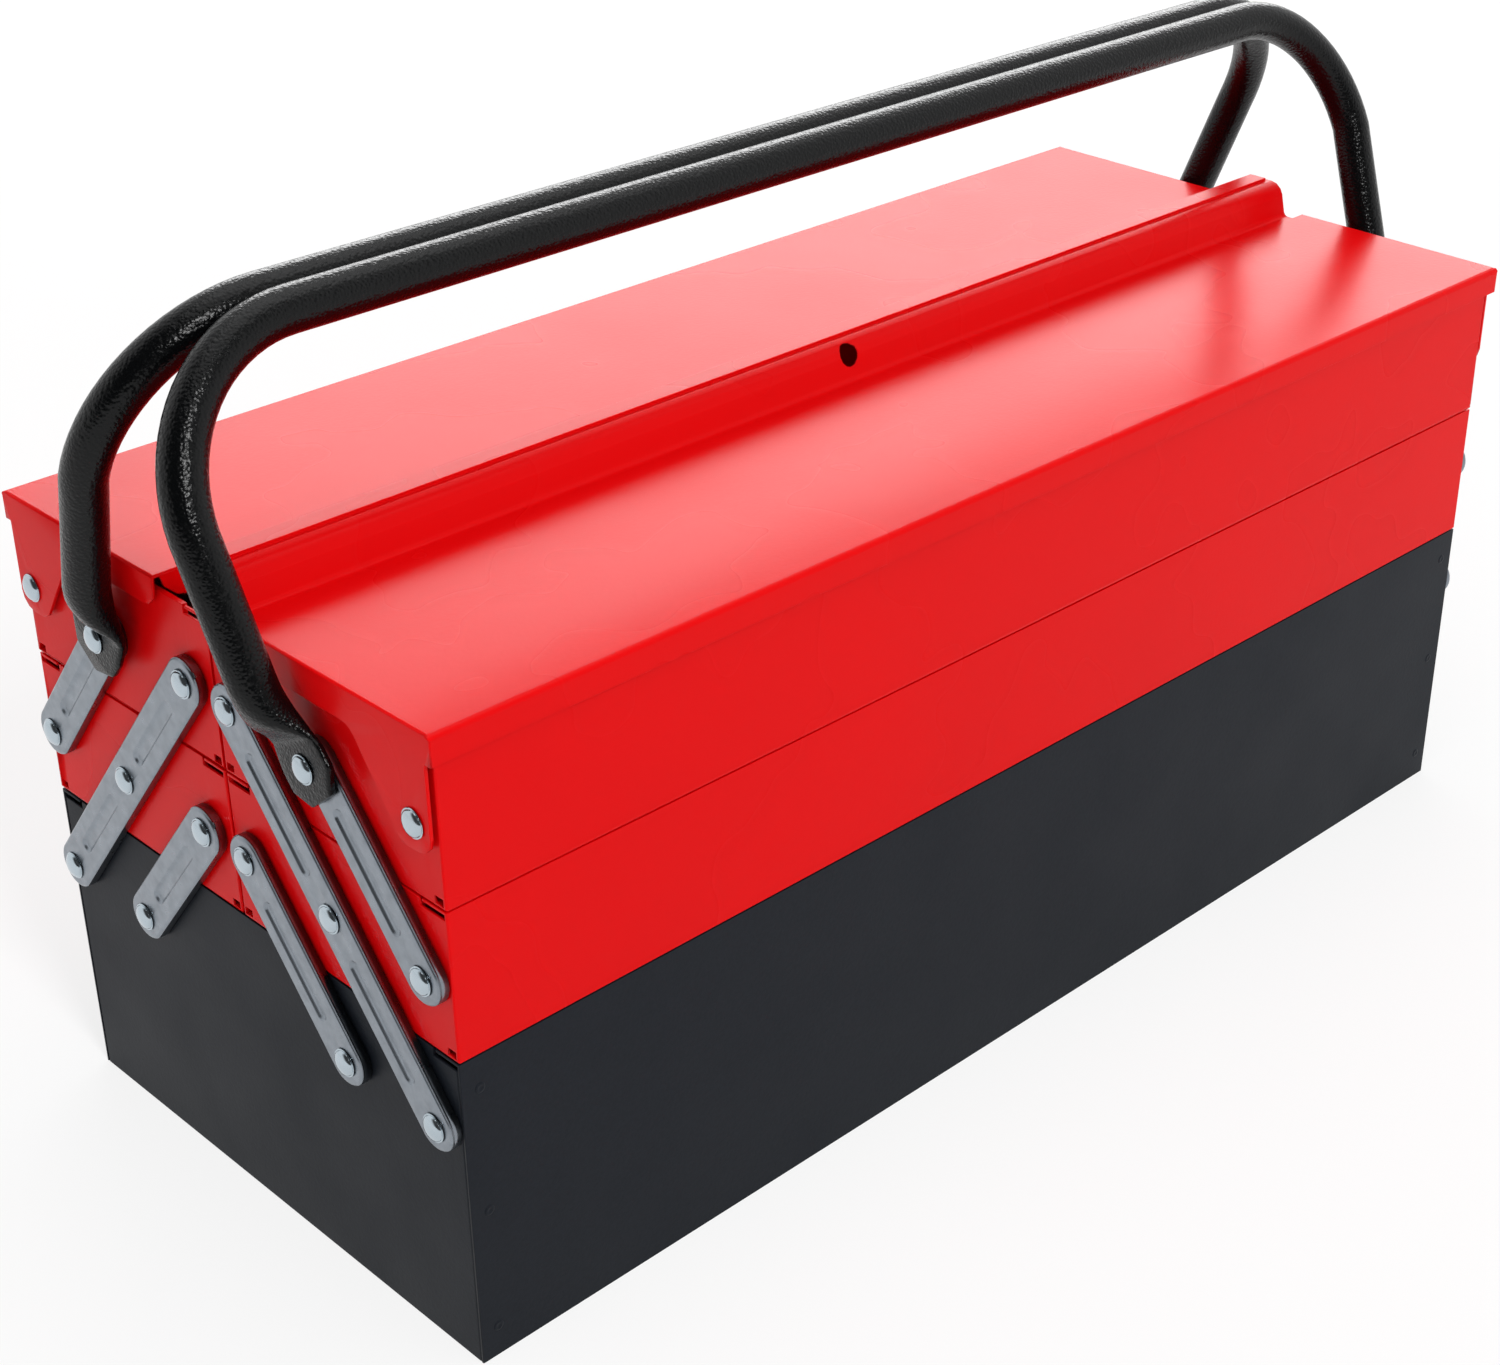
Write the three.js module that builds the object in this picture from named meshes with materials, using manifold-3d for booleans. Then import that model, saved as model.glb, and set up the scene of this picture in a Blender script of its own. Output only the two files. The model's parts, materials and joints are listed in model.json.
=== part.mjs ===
// Cantilever toolbox with four swing-out trays, two lids and two carrying handles.
// Millimetres, +Z up, X along the length, the front half on -Y. The origin is the middle of the
// underside. The two halves mirror each other except for the joint between the lids.

import * as THREE from 'three';
import { mergeVertices } from 'three/addons/utils/BufferGeometryUtils.js';
import Module from 'manifold-3d';

const wasm = await Module();
wasm.setup();

// ---- Driving dimensions ----

const LENGTH = 530;
const DEPTH = 226;
const SHEET = 1;
const BASE_HEIGHT = 118.8;
const TRAY_HEIGHT = 53.8;
const TIER_GAP = 0.6;
const CENTRE_GAP = 1;
const SEAM_GAP = 0.3;
const RUNNING_GAP = 0.3;

const HEM_DEPTH = 8;
const RIM_TAB = 10.5;
const RIM_TAB_SHEET = 1;
const RIM_SLOT = 2;
const RIM_NOTCH = 1.2;
const RELIEF_WIDTH = 4;
const RELIEF_HEIGHT = 2.8;
const END_FLANGE = 12;

const LINK_WIDTH = 17.6;
const LINK_SHEET = 1.2;
const LINK_DEPTH = 3.8;
const LINK_WALL_GAP = 0.6;
const BEAD_WIDTH = 6;
const BEAD_DEPTH = 0.6;
const BEAD_END = 14;
const PIVOT_EDGE = 9.3;
const PIVOT_CENTRE = 12.1;
const PIVOT_BELOW_BASE_RIM = 25.9;

const SHANK_RADIUS = 2.6;
const RIVET_HEAD_RADIUS = 5;
const RIVET_HEAD_HEIGHT = 2;
const RIVET_COLLAR_RADIUS = 4.2;
const RIVET_TAIL_RADIUS = 4;
const RIVET_TAIL_HEIGHT = 1.4;

const LID_SHEET = 1.2;
const LID_RISE = 6.4;
const LID_SIDE_GAP = 1.6;
const LID_EDGE_GAP = 1.4;
const LID_FLANGE = 10;
const LID_END_FLAP = 11.5;
const LID_BEND = 2;
const LID_PIVOT_INSET = 8.4;
const LID_PIVOT_DROP = 25.9;
const EAR_BELOW_PIVOT = 9.3;
const EAR_BEYOND_PIVOT = 7.7;
const EAR_INNER_WIDTH = 7.1;
const EAR_SLOPE_WIDTH = 21;
const EAR_ROUND = 6.5;

const FRONT_LID_END_INSET = 20.4;
const LIP_FOOT = 16.5;
const LIP_HEIGHT = 13.5;
const LIP_SLOPE = 3.2;
const LIP_ROUND = 6.5;
const LIP_OVERHANG = 1.3;
const LIP_END_INSET = 7.8;
const LIP_HEM = 7.8;
const LIP_HEM_END_INSET = 2;
const PADLOCK_HOLE = 9;
const PADLOCK_TILT = Math.PI / 6;

const GUTTER_EDGE = 25;
const GUTTER_DEPTH = 10.4;
const GUTTER_END_ROUND = 10.2;
const GUTTER_END_INSET = 10;
const GUTTER_SIDE_INSET = 3.2;
const GUTTER_LIP_GAP = 1.9;
const GUTTER_LIP_DROP = 1.4;

const HANDLE_TUBE = 15;
const HANDLE_GAP = 0.5;
const HANDLE_HEIGHT = 319.5;
const HANDLE_BEND = 53.6;
const HANDLE_SPREAD = 17.6;
const HANDLE_KNEE_SPREAD = 13.8;
const HANDLE_KNEE_INWARD = 12.6;
const HANDLE_KNEE_RISE = 26.3;
const HANDLE_SHOULDER_SPREAD = 17.4;
const HANDLE_SHOULDER_OUTWARD = 22;
const HANDLE_SHOULDER_DROP = 48.8;
const HANDLE_FLAT = 3;
const HANDLE_FLAT_WIDTH = 26.5;
const HANDLE_FLAT_TIP = 11;
const HANDLE_FLAT_NECK = 9;
const HANDLE_BEND_STEPS = 7;

const ROUND_SIDES = 12;
const RIVET_SIDES = 8;
const DRILL_SIDES = 8;
const ARC_STEPS = 3;
const GRID = 1024;

// ---- Sizes that follow from them ----

const HALF_LENGTH = LENGTH / 2;
const HALF_DEPTH = DEPTH / 2;
const LOWER_TRAY_Z = BASE_HEIGHT + TIER_GAP;
const TIER_PITCH = TRAY_HEIGHT + TIER_GAP;
const UPPER_TRAY_Z = LOWER_TRAY_Z + TIER_PITCH;
const RIM_Z = UPPER_TRAY_Z + TRAY_HEIGHT;
const LID_TOP_Z = RIM_Z + LID_RISE;
const LID_UNDERSIDE_Z = LID_TOP_Z - LID_SHEET;

// Pivots: three columns, evenly spaced in depth, on three levels one tier apart.
const COLUMN_OUTER = HALF_DEPTH - PIVOT_EDGE;
const COLUMN_INNER = PIVOT_CENTRE;
const COLUMN_MIDDLE = (COLUMN_OUTER + COLUMN_INNER) / 2;
const LEVEL_BASE = BASE_HEIGHT - PIVOT_BELOW_BASE_RIM;
const LEVEL_LOWER = LEVEL_BASE + TIER_PITCH;
const LEVEL_UPPER = LEVEL_LOWER + TIER_PITCH;
const LINK_PITCH = Math.hypot(COLUMN_OUTER - COLUMN_MIDDLE, TIER_PITCH);
const LINK_LEAN = Math.atan2(COLUMN_OUTER - COLUMN_MIDDLE, TIER_PITCH);

const HOLE_RADIUS = (SHANK_RADIUS + RUNNING_GAP) / Math.cos(Math.PI / DRILL_SIDES);
const LINK_INNER_X = HALF_LENGTH + LINK_WALL_GAP;
const LINK_FACE_X = LINK_INNER_X + LINK_DEPTH;
const FLAT_INNER_X = LINK_FACE_X + RUNNING_GAP;
const FLAT_OUTER_X = FLAT_INNER_X + HANDLE_FLAT;
const LID_FLAP_INNER_X = HALF_LENGTH + LID_SIDE_GAP;
const LID_HALF_LENGTH = LID_FLAP_INNER_X + LID_SHEET;
const LID_HALF_DEPTH = HALF_DEPTH + LID_EDGE_GAP + LID_SHEET;
const LID_PIVOT_V = HALF_DEPTH - LID_PIVOT_INSET;
const LID_PIVOT_Z = RIM_Z - LID_PIVOT_DROP;
const GUTTER_LIP_V = LIP_OVERHANG + GUTTER_LIP_GAP;

const SIDES = [['front', -1], ['rear', 1]];
const ENDS = [['left', -1], ['right', 1]];

// ---- Materials ----

function finish(color, roughness, metalness) {
  return new THREE.MeshStandardMaterial({ color, roughness, metalness });
}

const redCoat = finish(0xc40d0d, 0.35, 0);
const blackCoat = finish(0x2b2e32, 0.45, 0);
const handleCoat = finish(0x17191c, 0.4, 0);
const zinc = finish(0xaeb4b8, 0.35, 1);
const rivetSteel = finish(0xc3c9cd, 0.2, 1);

// ---- Solids ----

// A closed three.js geometry as a solid for cutting and joining. Its corners are moved to a fine
// grid, so that faces meant to lie in one plane lie in it exactly.
function solidOf(geometry) {
  geometry.deleteAttribute('normal');
  geometry.deleteAttribute('uv');
  const place = geometry.attributes.position;
  const onGrid = (value) => Math.round(value * GRID) / GRID;
  for (let i = 0; i < place.count; i += 1) {
    place.setXYZ(i, onGrid(place.getX(i)), onGrid(place.getY(i)), onGrid(place.getZ(i)));
  }
  const merged = mergeVertices(geometry, 1e-4);
  const index = merged.index.array;
  const triangles = [];
  for (let i = 0; i < index.length; i += 3) {
    const [a, b, c] = [index[i], index[i + 1], index[i + 2]];
    if (a !== b && b !== c && c !== a) triangles.push(a, b, c);
  }
  return new wasm.Manifold(new wasm.Mesh({
    numProp: 3,
    vertProperties: new Float32Array(merged.attributes.position.array),
    triVerts: new Uint32Array(triangles),
  }));
}

function geometryOf(solid) {
  const mesh = solid.getMesh();
  const geometry = new THREE.BufferGeometry();
  geometry.setAttribute('position', new THREE.BufferAttribute(mesh.vertProperties, 3));
  geometry.setIndex(new THREE.BufferAttribute(mesh.triVerts, 1));
  geometry.computeVertexNormals();
  return geometry;
}

function join(solids) {
  return solids.reduce((whole, solid) => whole.add(solid));
}

function cut(solid, tools) {
  return tools.reduce((rest, tool) => rest.subtract(tool), solid);
}

// A block between two corners given in any order.
function block([x0, x1], [y0, y1], [z0, z1]) {
  const geometry = new THREE.BoxGeometry(Math.abs(x1 - x0), Math.abs(y1 - y0), Math.abs(z1 - z0));
  geometry.translate((x0 + x1) / 2, (y0 + y1) / 2, (z0 + z1) / 2);
  return solidOf(geometry);
}

// An outline in the Y-Z plane, drawn through [y, z] points, extruded along X.
function plateAcrossX(points, x0, x1) {
  const shape = new THREE.Shape(points.map(([y, z]) => new THREE.Vector2(y, z)));
  const low = Math.min(x0, x1);
  const geometry = new THREE.ExtrudeGeometry(shape, { depth: Math.abs(x1 - x0), bevelEnabled: false });
  const axes = new THREE.Matrix4().makeBasis(
    new THREE.Vector3(0, 1, 0),
    new THREE.Vector3(0, 0, 1),
    new THREE.Vector3(1, 0, 0),
  );
  geometry.applyMatrix4(axes.setPosition(low, 0, 0));
  return solidOf(geometry);
}

// An outline in the X-Z plane extruded along Y.
function plateAcrossY(points, y0, y1) {
  const shape = new THREE.Shape(points.map(([x, z]) => new THREE.Vector2(x, z)));
  const high = Math.max(y0, y1);
  const geometry = new THREE.ExtrudeGeometry(shape, { depth: Math.abs(y1 - y0), bevelEnabled: false });
  geometry.rotateX(Math.PI / 2);
  geometry.translate(0, high, 0);
  return solidOf(geometry);
}

// A round bar along X, used as a drill.
function drill(x0, x1, y, z, radius) {
  const geometry = new THREE.CylinderGeometry(radius, radius, Math.abs(x1 - x0), DRILL_SIDES);
  geometry.rotateZ(Math.PI / 2);
  geometry.translate((x0 + x1) / 2, y, z);
  return solidOf(geometry);
}

// ---- Outlines ----

// Corners are [y, z, radius]; each corner with a radius becomes an arc.
function rounded(corners) {
  const points = [];
  corners.forEach(([y, z, radius = 0], i) => {
    const corner = new THREE.Vector2(y, z);
    const before = corners[(i + corners.length - 1) % corners.length];
    const after = corners[(i + 1) % corners.length];
    const back = new THREE.Vector2(before[0], before[1]).sub(corner).normalize();
    const ahead = new THREE.Vector2(after[0], after[1]).sub(corner).normalize();
    if (radius === 0) {
      points.push([y, z]);
      return;
    }
    const halfAngle = Math.acos(THREE.MathUtils.clamp(back.dot(ahead), -1, 1)) / 2;
    const reach = radius / Math.tan(halfAngle);
    const start = corner.clone().addScaledVector(back, reach);
    const end = corner.clone().addScaledVector(ahead, reach);
    const towardCentre = back.clone().add(ahead).normalize();
    const centre = corner.clone().addScaledVector(towardCentre, radius / Math.sin(halfAngle));
    const from = start.clone().sub(centre).angle();
    let sweep = end.clone().sub(centre).angle() - from;
    if (sweep > Math.PI) sweep -= 2 * Math.PI;
    if (sweep < -Math.PI) sweep += 2 * Math.PI;
    for (let step = 0; step <= ARC_STEPS; step += 1) {
      const angle = from + (sweep * step) / ARC_STEPS;
      points.push([centre.x + radius * Math.cos(angle), centre.y + radius * Math.sin(angle)]);
    }
  });
  return points;
}

// The section of a folded sheet. The run is its outer face, and the sheet lies on its right.
function sheetSection(run, thickness) {
  const inner = run.map((point, i) => {
    const before = run[Math.max(i - 1, 0)];
    const after = run[Math.min(i + 1, run.length - 1)];
    const into = new THREE.Vector2(point[0] - before[0], point[1] - before[1]).normalize();
    const out = new THREE.Vector2(after[0] - point[0], after[1] - point[1]).normalize();
    if (i === 0) into.copy(out);
    if (i === run.length - 1) out.copy(into);
    const normal = new THREE.Vector2(into.y, -into.x);
    const mitre = new THREE.Vector2(out.y, -out.x).add(normal).normalize();
    const reach = thickness / mitre.dot(normal);
    return [point[0] + mitre.x * reach, point[1] + mitre.y * reach];
  });
  return [...run, ...inner.reverse()];
}

function mirrored(points, side) {
  return points.map(([v, z]) => [side * v, z]);
}

// ---- The base: a folded shell of bottom, front and back, closed by two end panels ----

function baseShell() {
  const wallInner = HALF_DEPTH - SHEET;
  const hemInner = wallInner - SHEET;
  const bottomEnd = HALF_LENGTH - SHEET - SEAM_GAP;
  const parts = [block([-bottomEnd, bottomEnd], [-HALF_DEPTH, HALF_DEPTH], [0, SHEET])];
  for (const [, side] of SIDES) {
    parts.push(block([-HALF_LENGTH, HALF_LENGTH], [side * wallInner, side * HALF_DEPTH], [0, BASE_HEIGHT]));
    parts.push(block(
      [-bottomEnd, bottomEnd],
      [side * hemInner, side * wallInner],
      [BASE_HEIGHT - HEM_DEPTH, BASE_HEIGHT],
    ));
    for (const [, end] of ENDS) {
      parts.push(block(
        [end * (bottomEnd - SHEET), end * HALF_LENGTH],
        [side * (wallInner - RIM_TAB), side * wallInner],
        [BASE_HEIGHT - RIM_TAB_SHEET, BASE_HEIGHT],
      ));
    }
  }
  return join(parts);
}

function baseEnd(end) {
  const outer = end * HALF_LENGTH;
  const inner = end * (HALF_LENGTH - SHEET);
  const halfWidth = HALF_DEPTH - SHEET - SEAM_GAP;
  const notch = RIM_TAB + RIM_NOTCH;
  const notchFloor = BASE_HEIGHT - RIM_TAB_SHEET - RIM_SLOT;
  const flangeEnd = end * (HALF_LENGTH - SHEET - END_FLANGE);
  const floor = SHEET + SEAM_GAP;
  const hemInner = end * (HALF_LENGTH - 2 * SHEET);
  const panel = plateAcrossX([
    [-halfWidth, 0],
    [halfWidth, 0],
    [halfWidth, notchFloor],
    [halfWidth - notch, notchFloor],
    [halfWidth - notch, BASE_HEIGHT],
    [notch - halfWidth, BASE_HEIGHT],
    [notch - halfWidth, notchFloor],
    [-halfWidth, notchFloor],
  ], inner, outer);
  const hem = block(
    [hemInner, inner],
    [notch - halfWidth, halfWidth - notch],
    [BASE_HEIGHT - HEM_DEPTH, BASE_HEIGHT],
  );
  const foot = block([flangeEnd, inner], [-halfWidth, halfWidth], [floor, floor + SHEET]);
  const cheeks = SIDES.map(([, side]) => block(
    [flangeEnd, inner],
    [side * (halfWidth - SHEET), side * halfWidth],
    [floor, BASE_HEIGHT - HEM_DEPTH - SHEET],
  ));
  const holes = [];
  for (const [, side] of SIDES) {
    for (const column of [COLUMN_OUTER, COLUMN_MIDDLE]) {
      holes.push(drill(hemInner, outer + end, side * column, LEVEL_BASE, HOLE_RADIUS));
    }
  }
  return cut(join([panel, hem, foot, ...cheeks]), holes);
}

// ---- A tray: one folded sheet with hemmed rims and open corner reliefs ----

function tray(side, floorZ, pivots) {
  const rim = floorZ + TRAY_HEIGHT;
  const innerFace = CENTRE_GAP / 2;
  const walls = [[innerFace, 1], [HALF_DEPTH, -1]];
  const endInner = HALF_LENGTH - SHEET;
  const hemInner = endInner - SHEET;
  const notch = RIM_TAB + RIM_NOTCH;
  const parts = [
    block([-HALF_LENGTH, HALF_LENGTH], [side * innerFace, side * HALF_DEPTH], [floorZ, floorZ + SHEET]),
  ];
  const cuts = [];
  for (const [face, inward] of walls) {
    const wall = [side * face, side * (face + inward * SHEET)];
    const hem = [side * (face + inward * SHEET), side * (face + inward * 2 * SHEET)];
    parts.push(block([-HALF_LENGTH, HALF_LENGTH], wall, [floorZ, rim]));
    parts.push(block([-endInner, endInner], hem, [rim - HEM_DEPTH, rim]));
  }
  for (const [, end] of ENDS) {
    const through = [end * (endInner - RUNNING_GAP), end * (HALF_LENGTH + RUNNING_GAP)];
    const across = [side * (innerFace + SHEET), side * (HALF_DEPTH - SHEET)];
    const hemAcross = [side * (innerFace + SHEET + notch), side * (HALF_DEPTH - SHEET - notch)];
    parts.push(block([end * endInner, end * HALF_LENGTH], across, [floorZ, rim]));
    parts.push(block([end * hemInner, end * endInner], hemAcross, [rim - HEM_DEPTH, rim]));
    for (const [face, inward] of walls) {
      const corner = face + inward * SHEET;
      const slot = [side * corner, side * (corner + inward * notch)];
      const gap = [side * (corner + inward * RIM_TAB), side * (corner + inward * notch)];
      const relief = [side * corner, side * (corner + inward * RELIEF_WIDTH)];
      const slotTop = rim - RIM_TAB_SHEET;
      cuts.push(block(through, slot, [slotTop - RIM_SLOT, slotTop]));
      cuts.push(block(through, gap, [slotTop - RIM_SLOT, rim + 1]));
      cuts.push(block(through, relief, [floorZ + SHEET, floorZ + SHEET + RELIEF_HEIGHT]));
    }
    for (const [v, z] of pivots) {
      cuts.push(drill(end * (hemInner - 1), end * (HALF_LENGTH + 1), side * v, z, HOLE_RADIUS));
    }
  }
  return cut(join(parts), cuts);
}

// ---- Lids ----

// The turned-down end of a lid with the ear that holds its pivot.
function lidFlap(side, end, innerV) {
  const flapZ = LID_TOP_Z - LID_END_FLAP;
  const flangeZ = LID_TOP_Z - LID_FLANGE;
  const earZ = LID_PIVOT_Z - EAR_BELOW_PIVOT;
  const earOuter = LID_PIVOT_V + EAR_BEYOND_PIVOT;
  const earInner = LID_PIVOT_V - EAR_INNER_WIDTH;
  const outline = rounded([
    [innerV, LID_TOP_Z, 0],
    [LID_HALF_DEPTH, LID_TOP_Z, LID_BEND],
    [LID_HALF_DEPTH, flangeZ, 0],
    [earOuter, flangeZ, 0],
    [earOuter, earZ, EAR_ROUND],
    [earInner, earZ, EAR_ROUND],
    [earInner - EAR_SLOPE_WIDTH, flapZ, EAR_ROUND],
    [innerV, flapZ, EAR_ROUND],
  ]);
  const plate = plateAcrossX(mirrored(outline, side), end * LID_FLAP_INNER_X, end * LID_HALF_LENGTH);
  const hole = drill(
    end * (LID_FLAP_INNER_X - 1),
    end * (LID_HALF_LENGTH + 1),
    side * LID_PIVOT_V,
    LID_PIVOT_Z,
    HOLE_RADIUS,
  );
  return plate.subtract(hole);
}

function lidPanel(side, innerV) {
  const section = sheetSection(rounded([
    [innerV, LID_TOP_Z, 0],
    [LID_HALF_DEPTH, LID_TOP_Z, LID_BEND],
    [LID_HALF_DEPTH, LID_TOP_Z - LID_FLANGE, 0],
  ]), LID_SHEET);
  return plateAcrossX(mirrored(section, side), -LID_FLAP_INNER_X, LID_FLAP_INNER_X);
}

// A drill across the middle of the length, its axis tipped up toward the front.
function padlockDrill(y, z, reach, tilt) {
  const radius = PADLOCK_HOLE / 2;
  const geometry = new THREE.CylinderGeometry(radius, radius, 2 * reach, ROUND_SIDES);
  geometry.rotateX(-tilt);
  geometry.translate(0, y, z);
  return solidOf(geometry);
}

// The front lid rises to a lip that stands over the middle joint, its free edge hemmed.
function frontLid() {
  const lipTop = LID_TOP_Z + LIP_HEIGHT;
  const lipHalf = LID_HALF_LENGTH - LIP_END_INSET;
  const hemHalf = lipHalf - LIP_HEM_END_INSET;
  const run = rounded([
    [-FRONT_LID_END_INSET, LID_TOP_Z, 0],
    [-LIP_FOOT, LID_TOP_Z, LID_BEND],
    [-LIP_FOOT + LIP_SLOPE, lipTop, LIP_ROUND],
    [LIP_OVERHANG, lipTop, 0],
  ]);
  const lip = plateAcrossX(sheetSection(run, LID_SHEET), -lipHalf, lipHalf);
  const hem = block([-hemHalf, hemHalf], [LIP_OVERHANG - LIP_HEM, LIP_OVERHANG], [lipTop, lipTop + LID_SHEET]);
  const flaps = ENDS.map(([, end]) => lidFlap(-1, end, FRONT_LID_END_INSET));
  const holeY = LIP_SLOPE - LIP_FOOT;
  const holeZ = lipTop - PADLOCK_HOLE / 2;
  return join([lidPanel(-1, FRONT_LID_END_INSET), lip, hem, ...flaps])
    .subtract(padlockDrill(holeY, holeZ, LID_SHEET * 3, PADLOCK_TILT));
}

// The rear lid turns down at its inner edge into a gutter under the joint, with an upstand
// that stands just behind the front lid's lip.
function rearLid() {
  const floorZ = LID_TOP_Z - GUTTER_DEPTH;
  const dropHalf = LID_HALF_LENGTH - GUTTER_SIDE_INSET;
  const gutterHalf = dropHalf - GUTTER_END_INSET;
  const lipTop = LID_TOP_Z + LIP_HEIGHT;
  const upstandTop = lipTop - GUTTER_LIP_DROP;
  const drop = plateAcrossY(rounded([
    [-dropHalf, LID_TOP_Z, 0],
    [-dropHalf, floorZ, GUTTER_END_ROUND],
    [dropHalf, floorZ, GUTTER_END_ROUND],
    [dropHalf, LID_TOP_Z, 0],
  ]), GUTTER_EDGE, GUTTER_EDGE + LID_SHEET);
  const run = rounded([
    [GUTTER_LIP_V + LID_SHEET, upstandTop, 0],
    [GUTTER_LIP_V + LID_SHEET, floorZ + LID_SHEET, LID_SHEET / 2],
    [GUTTER_EDGE + LID_SHEET / 2, floorZ + LID_SHEET, 0],
  ]);
  const gutter = plateAcrossX(sheetSection(run, LID_SHEET), -gutterHalf, gutterHalf);
  const flaps = ENDS.map(([, end]) => lidFlap(1, end, GUTTER_EDGE));
  const holeZ = upstandTop - LID_SHEET - PADLOCK_HOLE / 2;
  return join([lidPanel(1, GUTTER_EDGE), drop, gutter, ...flaps])
    .subtract(padlockDrill(GUTTER_LIP_V, holeZ, LID_SHEET * 3, 0));
}

// ---- Links: pressed channels with a long sunken bead between each pair of pivots ----

// The outline of a strip with round ends, its first pivot at the origin and the rest up Z.
function stripOutline(length, radius) {
  const points = [];
  const steps = ROUND_SIDES / 2;
  for (let step = 0; step <= steps; step += 1) {
    const angle = (Math.PI * step) / steps;
    points.push([radius * Math.cos(angle), length + radius * Math.sin(angle)]);
  }
  for (let step = 0; step <= steps; step += 1) {
    const angle = Math.PI + (Math.PI * step) / steps;
    points.push([radius * Math.cos(angle), radius * Math.sin(angle)]);
  }
  return points;
}

function link(spans) {
  const length = spans * LINK_PITCH;
  const outside = plateAcrossX(stripOutline(length, LINK_WIDTH / 2), LINK_INNER_X, LINK_FACE_X);
  const hollow = plateAcrossX(
    stripOutline(length, LINK_WIDTH / 2 - LINK_SHEET),
    LINK_INNER_X - 1,
    LINK_FACE_X - LINK_SHEET,
  );
  const cuts = [hollow];
  for (let span = 0; span < spans; span += 1) {
    const bead = stripOutline(LINK_PITCH - 2 * BEAD_END - BEAD_WIDTH, BEAD_WIDTH / 2)
      .map(([y, z]) => [y, z + span * LINK_PITCH + BEAD_END + BEAD_WIDTH / 2]);
    cuts.push(plateAcrossX(bead, LINK_FACE_X - BEAD_DEPTH, LINK_FACE_X + 1));
  }
  for (let pivot = 0; pivot <= spans; pivot += 1) {
    cuts.push(drill(LINK_INNER_X, LINK_FACE_X + 1, 0, pivot * LINK_PITCH, HOLE_RADIUS));
  }
  return cut(outside, cuts);
}

// ---- Rivets: tail inside the wall, collar outside it, shank through the moving piece, domed head ----

function rivet(collarEnd, gripEnd) {
  const headStart = gripEnd + RUNNING_GAP - HALF_LENGTH;
  const collar = collarEnd - RUNNING_GAP - HALF_LENGTH;
  const dome = headStart + RIVET_HEAD_HEIGHT;
  const profile = [
    [0, -SHEET - RIVET_TAIL_HEIGHT],
    [RIVET_TAIL_RADIUS, -SHEET - RIVET_TAIL_HEIGHT],
    [RIVET_TAIL_RADIUS, -SHEET],
    [SHANK_RADIUS, -SHEET],
    [SHANK_RADIUS, 0],
    [RIVET_COLLAR_RADIUS, 0],
    [RIVET_COLLAR_RADIUS, collar],
    [SHANK_RADIUS, collar],
    [SHANK_RADIUS, headStart],
    [RIVET_HEAD_RADIUS, headStart],
    [RIVET_HEAD_RADIUS * 0.7, dome - RIVET_HEAD_HEIGHT / 4],
    [0, dome],
  ];
  const points = profile.map(([radius, height]) => new THREE.Vector2(radius, height));
  return new THREE.LatheGeometry(points, RIVET_SIDES);
}

// ---- Handles: a bent tube whose ends are squashed flat and riveted over the upper links ----

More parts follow.
